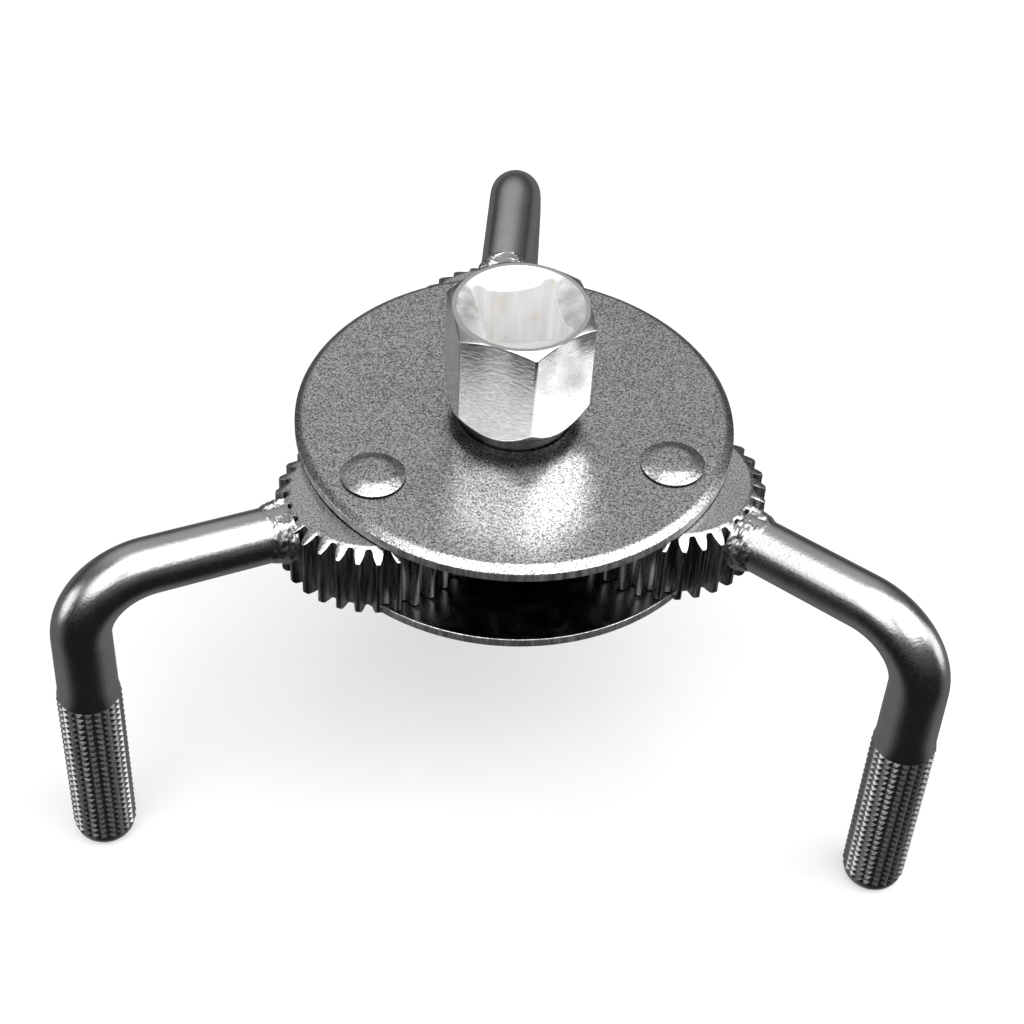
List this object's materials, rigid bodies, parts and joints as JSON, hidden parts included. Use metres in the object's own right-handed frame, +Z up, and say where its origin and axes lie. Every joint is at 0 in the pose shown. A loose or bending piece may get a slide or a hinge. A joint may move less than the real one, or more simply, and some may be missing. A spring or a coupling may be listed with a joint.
{
  "type": "oil filter wrench",
  "caption": "Two-way oil filter wrench: a drive hub turns geared jaws between two plates, closing knurled legs on a filter.",
  "frame": {"origin": "centre of the drive hub's lower end face, on the drive axis, under the bottom plate", "axes": "+Z up along the drive axis towards the drive square, +Y towards the back rivet, +X to the right"},
  "size_m": [0.1455, 0.1367, 0.0925],
  "materials": {
    "plate": "grit-blasted steel under nickel-chrome plating, satin with fine sparkle",
    "hub": "polished chrome plating with a faint orange-peel on the forged faces",
    "rod": "chrome plating over a lightly grained bar, knurled at the foot",
    "gear": "plated steel, blasted on its flat top and smooth on the tooth flanks",
    "weld": "rough plated weld metal",
    "ring": "blackened spring steel"
  },
  "bodies": {
    "carrier": {"top_plate": "plate", "bottom_plate": "plate", "rivet_back": "plate", "rivet_left": "plate", "rivet_right": "plate"},
    "drive": {"drive_hub": "hub", "sun_gear": "gear", "retaining_ring": "ring"},
    "jaw_back": {"jaw_gear_back": "gear", "jaw_rod_back": "rod", "jaw_weld_back": "weld"},
    "jaw_left": {"jaw_gear_left": "gear", "jaw_rod_left": "rod", "jaw_weld_left": "weld"},
    "jaw_right": {"jaw_gear_right": "gear", "jaw_rod_right": "rod", "jaw_weld_right": "weld"}
  },
  "joints": [
    {"name": "drive_turn", "type": "hinge", "parent": "carrier", "child": "drive", "pos_m": [0, 0, 0], "axis": [0, 0, 1], "range_deg": [-142, 117]},
    {"name": "jaw_back_swing", "type": "hinge", "parent": "carrier", "child": "jaw_back", "pos_m": [0, 0.0285, 0.0117], "axis": [0, 0, 1], "range_deg": [-105.5, 128]},
    {"name": "jaw_left_swing", "type": "hinge", "parent": "carrier", "child": "jaw_left", "pos_m": [-0.02468, -0.01425, 0.0117], "axis": [0, 0, 1], "range_deg": [-105.5, 128]},
    {"name": "jaw_right_swing", "type": "hinge", "parent": "carrier", "child": "jaw_right", "pos_m": [0.02468, -0.01425, 0.0117], "axis": [0, 0, 1], "range_deg": [-105.5, 128]}
  ],
  "couplings": [
    {"joint": "jaw_back_swing", "follows": "drive_turn", "ratio": -0.9},
    {"joint": "jaw_left_swing", "follows": "drive_turn", "ratio": -0.9},
    {"joint": "jaw_right_swing", "follows": "drive_turn", "ratio": -0.9}
  ]
}
